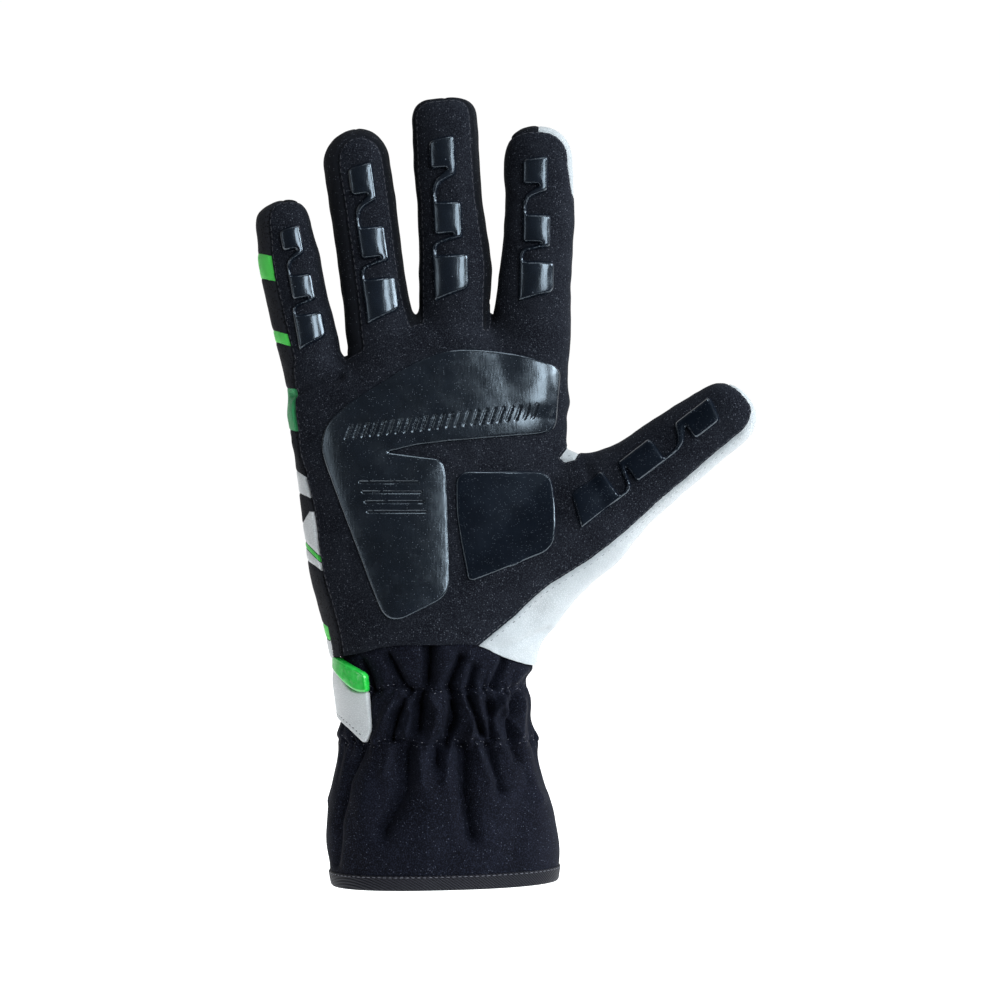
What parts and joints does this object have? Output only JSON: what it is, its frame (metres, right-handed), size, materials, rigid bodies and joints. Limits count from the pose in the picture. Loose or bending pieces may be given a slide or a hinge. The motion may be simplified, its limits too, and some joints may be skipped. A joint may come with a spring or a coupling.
{
  "type": "karting glove",
  "caption": "Right-hand karting glove filled out as worn, with a suede palm, silicone grips and a gathered gauntlet",
  "frame": {"origin": "the middle of the wrist, where the elastic gathers grip", "axes": "+Z from the gauntlet to the fingertips, +X towards the thumb, palm towards -Y"},
  "size_m": [0.1737, 0.055, 0.2739],
  "materials": {
    "black_suede": "matte suede with fine pale specks",
    "black_fabric": "matte mesh weave",
    "fourchette_fabric": "matte stretch weave",
    "cuff_fabric": "matte softshell with fine pale specks",
    "binding_tape": "ribbed tape with a slight sheen",
    "silicone": "glossy moulded silicone",
    "white_leather": "satin synthetic leather",
    "green_fabric": "satin woven fabric",
    "green_rubber": "glossy moulded rubber"
  },
  "bodies": {
    "root": {"palm_little": "black_suede", "palm_ring": "black_suede", "palm_middle": "black_suede", "palm_index": "black_suede", "palm_thumb": "black_suede", "palm_panel": "black_suede", "fourchette_little_ring": "fourchette_fabric", "fourchette_ring_middle": "fourchette_fabric", "fourchette_middle_index": "fourchette_fabric", "back_index": "white_leather", "back_thumb": "white_leather", "back_panel_thumb_side": "white_leather", "finger_patch_upper": "green_fabric", "finger_patch_lower": "green_fabric", "knuckle_patch": "green_fabric", "side_panel_upper": "white_leather", "side_panel_middle": "white_leather", "side_stripe": "green_fabric", "side_panel_lower": "white_leather", "heel_stripe": "green_fabric", "heel_panel": "white_leather", "back_little": "black_fabric", "back_ring": "black_fabric", "back_middle": "black_fabric", "back_panel": "black_fabric", "cuff": "cuff_fabric", "cuff_binding": "binding_tape", "wrist_panel": "white_leather", "wrist_tab": "green_rubber", "palm_grip": "silicone", "heel_grip": "silicone", "little_grip": "silicone", "ring_grip": "silicone", "middle_grip": "silicone", "index_grip": "silicone", "thumb_grip": "silicone"}
  },
  "joints": []
}
